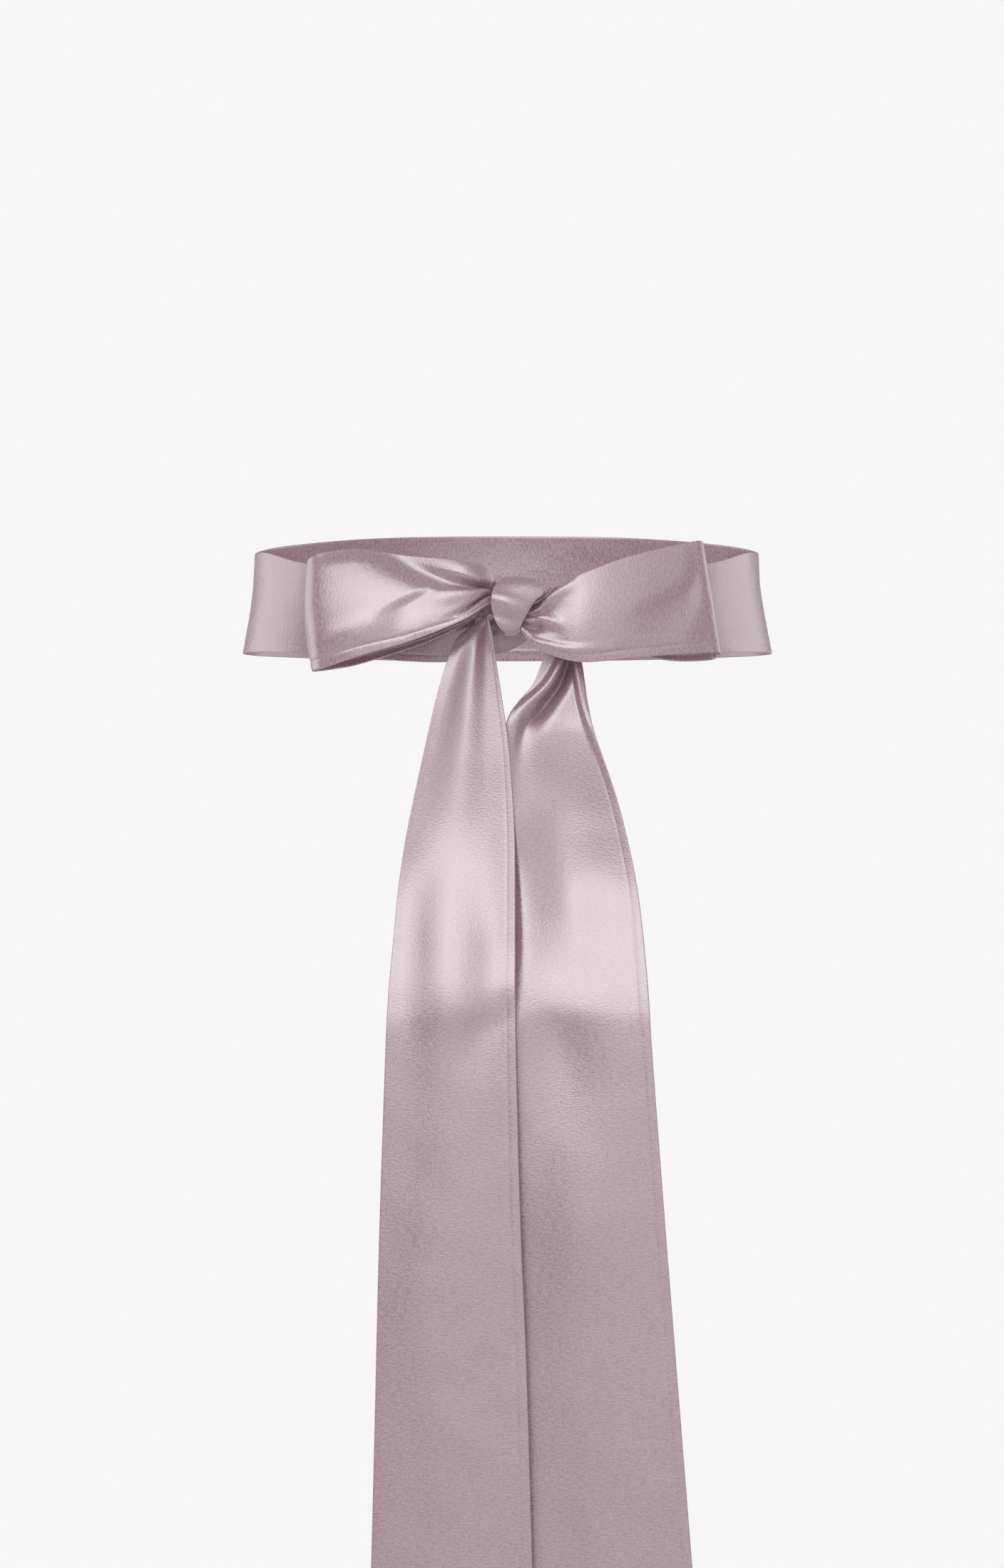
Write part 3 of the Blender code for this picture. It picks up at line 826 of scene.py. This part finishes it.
@dataclass
class Bow:
    """The bow's two loops and two tails."""

    left_loop: list[Section] = field(
        default_factory=lambda: [
            Section(-6.5, -124.5, 5.0, -6.5, -130.0, -4.0, 0.0),
            Section(-10.5, -126.0, 12.6, -11.2, -133.0, -5.7, 0.0),
            Section(-22.7, -129.5, 16.7, -23.4, -138.0, -13.3, 1.6),
            Section(-48.6, -126.5, 20.9, -49.5, -138.0, -23.8, 4.6),
            Section(-76.4, -122.8, 25.1, -76.1, -137.5, -31.5, 4.6),
            Section(-96.3, -118.8, 23.2, -93.7, -132.5, -37.4, 4.4),
            Section(-102.4, -115.2, 20.4, -99.4, -126.3, -38.7, 3.6),
            Section(-104.1, -110.0, 18.8, -101.2, -118.5, -39.3, 2.4),
            Section(-101.3, -104.0, 20.5, -98.5, -109.0, -39.0, 2.0),
            Section(-92.1, -99.0, 21.9, -89.4, -104.0, -37.6, 2.0),
            Section(-77.2, -98.0, 21.1, -77.1, -103.0, -35.1, 1.5),
            Section(-45.3, -104.0, 14.2, -45.2, -109.0, -25.2, 1.0),
            Section(-19.1, -114.0, 9.0, -19.8, -117.0, -13.5, 0.5),
            Section(-11.6, -118.0, 7.0, -12.4, -119.5, -5.7, 0.0),
            Section(-6.5, -122.3, 3.5, -6.5, -122.5, -3.0, 0.0),
        ]
    )
    left_loop_folds: list[Fold] = field(
        default_factory=lambda: [
            Fold(0.3, 3.4, 0.36, 0.24, -0.08, 0.80, 0.14, 1.6, 3.8, 0.0),
            Fold(0.3, 2.95, 0.50, 0.43, 0.30, 0.16, 0.09, -1.5, -3.0, 0.0),
            Fold(0.3, 3.4, 0.62, 0.53, 0.42, 0.12, 0.24, 1.5, 1.9, 0.0),
            Fold(2.6, 6.4, 0.72, 0.75, 0.72, 0.30, 0.24, 0.0, 2.0, 0.0),
            Fold(2.2, 3.9, 0.42, 0.58, 0.80, 0.12, 0.40, 0.0, -1.8, 0.0),
            Fold(0.3, 2.7, 0.62, 0.76, 0.95, 0.10, 0.09, -1.5, -3.4, 0.0),
            Fold(2.6, 6.2, 0.00, 0.00, 0.00, 0.16, 0.16, 0.0, -1.8, 0.0),
            Fold(11.0, 14.0, 0.35, 0.35, 0.35, 0.16, 0.16, 0.0, 0.8, 1.4),
            Fold(11.0, 14.0, 0.65, 0.65, 0.65, 0.16, 0.16, 0.0, -0.8, -1.4),
        ]
    )
    right_loop: list[Section] = field(
        default_factory=lambda: [
            Section(10.0, -126.5, -0.5, 2.5, -128.5, -11.0, 0.0),
            Section(21.0, -128.0, 3.2, 11.0, -131.0, -23.5, 0.5),
            Section(25.4, -130.5, 5.4, 16.5, -133.5, -28.7, 1.5),
            Section(40.2, -133.0, 11.9, 37.2, -137.0, -34.7, 3.0),
            Section(62.3, -128.5, 20.3, 63.7, -133.5, -32.6, 3.0),
            Section(86.5, -121.0, 26.6, 90.0, -126.0, -30.3, 2.5),
            Section(95.4, -118.0, 28.4, 102.6, -121.5, -29.4, 1.6),
            Section(100.4, -115.9, 29.2, 109.2, -118.8, -29.3, 0.8),
            Section(102.0, -112.8, 28.2, 111.2, -115.4, -30.2, 0.3),
            Section(100.6, -109.6, 26.9, 110.0, -112.0, -31.6, 0.5),
            Section(94.7, -105.0, 26.0, 104.4, -105.5, -33.3, 1.0),
            Section(72.5, -101.0, 22.5, 81.8, -102.0, -32.9, 1.5),
            Section(40.6, -108.0, 11.0, 42.4, -109.0, -24.4, 1.0),
            Section(21.8, -117.0, 1.8, 18.1, -118.0, -16.1, 0.0),
            Section(9.0, -121.8, -1.5, 5.5, -122.0, -8.5, 0.0),
        ]
    )
    right_loop_folds: list[Fold] = field(
        default_factory=lambda: [
            Fold(0.3, 2.9, 0.46, 0.14, 0.00, 0.10, 0.07, -1.5, -2.8, 0.0),
            Fold(0.3, 3.4, 0.62, 0.19, 0.02, 0.08, 0.20, 1.5, 2.8, 0.0),
            Fold(0.3, 2.8, 0.68, 0.40, 0.36, 0.10, 0.10, -0.8, -1.6, 0.0),
            Fold(0.3, 2.7, 0.80, 0.55, 0.60, 0.13, 0.07, 1.5, 3.2, 0.0),
            Fold(0.3, 2.8, 0.90, 0.68, 0.72, 0.08, 0.12, -1.5, -3.0, 0.0),
            Fold(0.3, 4.4, 0.95, 0.88, 0.86, 0.09, 0.10, 1.0, 1.6, 0.0),
            Fold(3.2, 6.8, 0.72, 0.54, 0.22, 0.22, 0.40, 0.0, -1.7, 0.0),
            Fold(11.0, 14.0, 0.35, 0.35, 0.35, 0.16, 0.16, 0.0, 0.8, 1.4),
            Fold(11.0, 14.0, 0.65, 0.65, 0.65, 0.16, 0.16, 0.0, -0.8, -1.4),
        ]
    )
    left_tail: list[Section] = field(
        default_factory=lambda: [
            Section(-6.0, -123.0, -9.0, -5.6, -129.5, -12.0, 0.0),
            Section(-11.5, -120.0, -11.5, -9.5, -130.3, -10.0, 0.0),
            Section(-18.0, -113.5, -16.0, -8.8, -129.5, -14.0, 0.3),
            Section(-24.3, -113.0, -20.0, -7.5, -128.0, -20.0, 0.8),
            Section(-28.8, -119.5, -27.0, -6.4, -126.0, -29.3, 0.5),
            Section(-35.8, -125.0, -48.8, -3.1, -127.0, -50.5, -0.3),
            Section(-42.8, -128.0, -78.6, 1.0, -130.5, -79.4, -0.8),
            Section(-51.6, -130.0, -120.1, 3.8, -135.5, -120.1, -1.6),
            Section(-56.3, -132.5, -149.7, 4.2, -140.8, -149.6, -1.6),
            Section(-59.1, -139.0, -179.0, 4.3, -146.7, -179.0, -1.0),
            Section(-61.6, -146.0, -208.3, 4.4, -152.5, -208.3, 0.0),
            Section(-63.0, -148.9, -237.5, 4.7, -155.3, -237.5, 0.5),
            Section(-65.9, -151.0, -325.6, 7.0, -157.3, -325.6, 1.0),
            Section(-68.4, -151.2, -428.4, 11.0, -157.6, -428.4, 1.5),
            Section(-75.2, -151.2, -700.7, 18.3, -157.6, -700.7, 1.5),
        ]
    )
    left_tail_folds: list[Fold] = field(
        default_factory=lambda: [
            Fold(0.6, 9.2, 0.62, 0.48, 0.30, 0.34, 0.32, -1.2, -3.2, 0.0),
            Fold(0.6, 5.0, 0.96, 0.96, 0.98, 0.08, 0.10, 0.8, 0.6, 0.0),
            Fold(6.0, 12.6, 0.40, 0.44, 0.50, 0.38, 0.44, 0.0, 3.8, 0.0),
        ]
    )
    right_tail: list[Section] = field(
        default_factory=lambda: [
            Section(4.5, -125.0, -12.0, 6.5, -125.0, -7.5, 0.0),
            Section(11.5, -124.5, -16.5, 16.0, -124.5, -11.0, 0.0),
            Section(16.5, -121.5, -21.5, 25.0, -121.5, -19.0, 0.0),
            Section(20.3, -119.0, -26.5, 33.0, -119.0, -25.5, 0.3),
            Section(19.2, -118.0, -31.0, 38.0, -118.0, -32.0, 0.6),
            Section(13.7, -118.5, -45.5, 40.4, -119.0, -45.1, 1.0),
            Section(5.1, -120.0, -56.3, 42.2, -121.0, -57.8, 1.5),
            Section(-1.2, -124.0, -68.9, 45.2, -125.8, -70.4, 0.0),
            Section(-1.2, -125.2, -97.9, 54.7, -128.5, -97.9, -2.0),
            Section(-0.1, -126.2, -120.1, 61.0, -130.5, -120.1, -2.5),
            Section(2.1, -128.5, -149.7, 67.2, -134.5, -149.7, -2.0),
            Section(3.6, -136.5, -179.1, 70.7, -143.5, -179.0, -1.0),
            Section(3.9, -144.8, -208.3, 73.1, -152.3, -208.3, 0.0),
            Section(4.2, -148.6, -237.5, 74.8, -155.5, -237.5, 0.5),
            Section(6.4, -150.8, -325.6, 81.4, -157.5, -325.6, 1.0),
            Section(10.5, -151.0, -428.4, 89.5, -157.8, -428.4, 1.5),
            Section(17.8, -151.0, -700.7, 111.1, -157.8, -700.7, 1.5),
        ]
    )
    right_tail_folds: list[Fold] = field(
        default_factory=lambda: [
            Fold(3.0, 7.8, 0.80, 0.26, 0.02, 0.22, 0.10, 2.0, 4.0, 0.0),
            Fold(3.0, 8.2, 0.86, 0.40, 0.10, 0.10, 0.28, -3.0, -9.5, 0.0),
            Fold(3.0, 8.8, 0.72, 0.92, 1.02, 0.08, 0.34, 2.0, 3.4, 0.0),
            Fold(7.0, 13.0, 0.08, 0.10, 0.12, 0.16, 0.40, 0.0, 3.6, 0.0),
        ]
    )

    left_loop_swells: list[Swell] = field(
        default_factory=lambda: [Swell(3.05, 0.14, 0.58, 0.26, -2.6, -3.2, 2.0)]
    )
    right_loop_swells: list[Swell] = field(
        default_factory=lambda: [Swell(2.3, 0.57, 0.22, 0.08, 0.0, 1.0, 2.0)]
    )
    left_tail_swells: list[Swell] = field(
        default_factory=lambda: [
            Swell(9.8, 0.95, 0.3, 0.15, 0.0, 0.8, 2.0),
            Swell(10.75, 0.72, 0.40, 0.26, -1.0, -2.2, 2.0),
            Swell(12.4, 0.30, 0.5, 0.40, -0.4, 1.6, 2.0),
        ]
    )
    right_tail_swells: list[Swell] = field(
        default_factory=lambda: [
            Swell(12.95, 0.34, 0.50, 0.28, 0.0, -2.4, 2.0),
            Swell(14.0, 0.40, 0.5, 0.36, 0.0, 2.2, 2.0),
        ]
    )

    def ribbons(self) -> list[Ribbon]:
        """The four ribbons of the bow, ready to build."""
        return [
            Ribbon("left_loop", "loop_left", self.left_loop, self.left_loop_folds,
                   self.left_loop_swells, Side.OUT, 180, 36, 60.0, (0.0, 1.0)),
            Ribbon("right_loop", "loop_right", self.right_loop, self.right_loop_folds,
                   self.right_loop_swells, Side.IN, 180, 36, 60.0, (0.0, 1.0)),
            Ribbon("left_tail", "tail_left", self.left_tail, self.left_tail_folds,
                   self.left_tail_swells, Side.OUT, 200, 32, 72.0, (0.0, 0.4)),
            Ribbon("right_tail", "tail_right", self.right_tail, self.right_tail_folds,
                   self.right_tail_swells, Side.OUT, 200, 32, 76.0, (0.0, 0.4)),
        ]


@dataclass
class Studio:
    """The pale floor, the soft lights and the camera."""

    camera_x: float = -2.7
    camera_y: float = -3000.0
    camera_z: float = -97.9
    floor_z: float = -1050.0
    floor_radius: float = 3400.0
    backdrop: tuple[float, float, float, float] = (0.93, 0.915, 0.925, 1.0)
    surround: tuple[float, float, float, float] = (0.42, 0.42, 0.422, 1.0)

    def build_camera(self) -> None:
        """Place the camera so that the bow falls where the photograph has it."""
        lens = bpy.data.cameras.new("camera")
        lens.sensor_width = SENSOR_MM
        lens.lens = SENSOR_MM * FOCAL_PIXELS / PHOTO_HEIGHT
        camera = bpy.data.objects.new("camera", lens)
        camera.location = Vector((self.camera_x, self.camera_y, self.camera_z)) * MM
        camera.rotation_euler = (math.radians(90), 0.0, 0.0)
        bpy.context.scene.collection.objects.link(camera)
        bpy.context.scene.camera = camera

    def add_light(self, name: str, azimuth: float, elevation: float, distance: float,
                  size: float, power: float) -> None:
        """Aim a square soft light at the bow.

        Args:
            name: The light's name.
            azimuth: Degrees to the right of the camera's side of the bow.
            elevation: Degrees above the bow.
            distance: Metres from the bow.
            size: Side of the light, in metres.
            power: Watts.
        """
        lamp = bpy.data.lights.new(name, "AREA")
        lamp.size = size
        lamp.energy = power
        turn, rise = math.radians(azimuth), math.radians(elevation)
        away = Vector(
            (math.sin(turn) * math.cos(rise), -math.cos(turn) * math.cos(rise), math.sin(rise))
        )
        light = bpy.data.objects.new(name, lamp)
        light.location = away * distance
        light.rotation_mode = "QUATERNION"
        light.rotation_quaternion = away.to_track_quat("Z", "Y")
        bpy.context.scene.collection.objects.link(light)

    def build_lights(self) -> None:
        """Hang the soft lights, and a pale surround that the camera sees brighter than the cloth does."""
        self.add_light("key", -20.0, 32.0, 2.3, 2.0, 24.0)
        self.add_light("fill", 8.0, 13.0, 3.4, 3.6, 28.0)
        self.add_light("right", 112.0, 5.0, 2.4, 2.4, 20.0)
        self.add_light("left", -114.0, 5.0, 2.4, 2.2, 17.0)
        world = bpy.data.worlds.new("studio")
        world.use_nodes = True
        tree = world.node_tree
        seen = tree.nodes.new("ShaderNodeBackground")
        lit = tree.nodes["Background"]
        seen.inputs["Color"].default_value = self.backdrop
        lit.inputs["Color"].default_value = self.surround
        path = tree.nodes.new("ShaderNodeLightPath")
        mix = tree.nodes.new("ShaderNodeMixShader")
        tree.links.new(path.outputs["Is Camera Ray"], mix.inputs[0])
        tree.links.new(lit.outputs[0], mix.inputs[1])
        tree.links.new(seen.outputs[0], mix.inputs[2])
        tree.links.new(mix.outputs[0], tree.nodes["World Output"].inputs["Surface"])
        bpy.context.scene.world = world
        bpy.context.scene.view_settings.view_transform = "Standard"

    def build_floor(self) -> None:
        """Lay the floor far below the sash, at a standing wearer's feet."""
        shape = bmesh.new()
        bmesh.ops.create_circle(shape, cap_ends=True, segments=96, radius=self.floor_radius * MM)
        bmesh.ops.translate(shape, verts=shape.verts, vec=(0.0, 0.0, self.floor_z * MM))
        mesh = bpy.data.meshes.new("floor")
        shape.to_mesh(mesh)
        shape.free()
        floor = bpy.data.objects.new("floor", mesh)
        floor.data.materials.append(FloorFinish().make())
        bpy.context.scene.collection.objects.link(floor)


def dress(piece: bpy.types.Object, material: bpy.types.Material) -> None:
    """Give a piece its material and body."""
    piece.data.materials.clear()
    piece.data.materials.append(material)
    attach(piece, BODY)
    LOG.info("made %s", piece.name)


def main() -> None:
    """Build the sash's pieces and the studio round them."""
    logging.basicConfig(level=logging.INFO, format="%(name)s: %(message)s")
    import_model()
    satin = SatinFinish().make()
    thread = ThreadFinish().make()
    dress(Waistband().build(), satin)
    knot = Knot()
    tie = knot.build_tie()
    dress(tie, satin)
    turn = knot.build_wrap()
    dress(turn, satin)
    for ribbon in Bow().ribbons():
        piece = ribbon.build()
        dress(piece, satin)
        stitches = HemStitches(ribbon).build()
        dress(stitches, thread)
    studio = Studio()
    studio.build_camera()
    studio.build_lights()
    studio.build_floor()


if __name__ == "__main__":
    main()
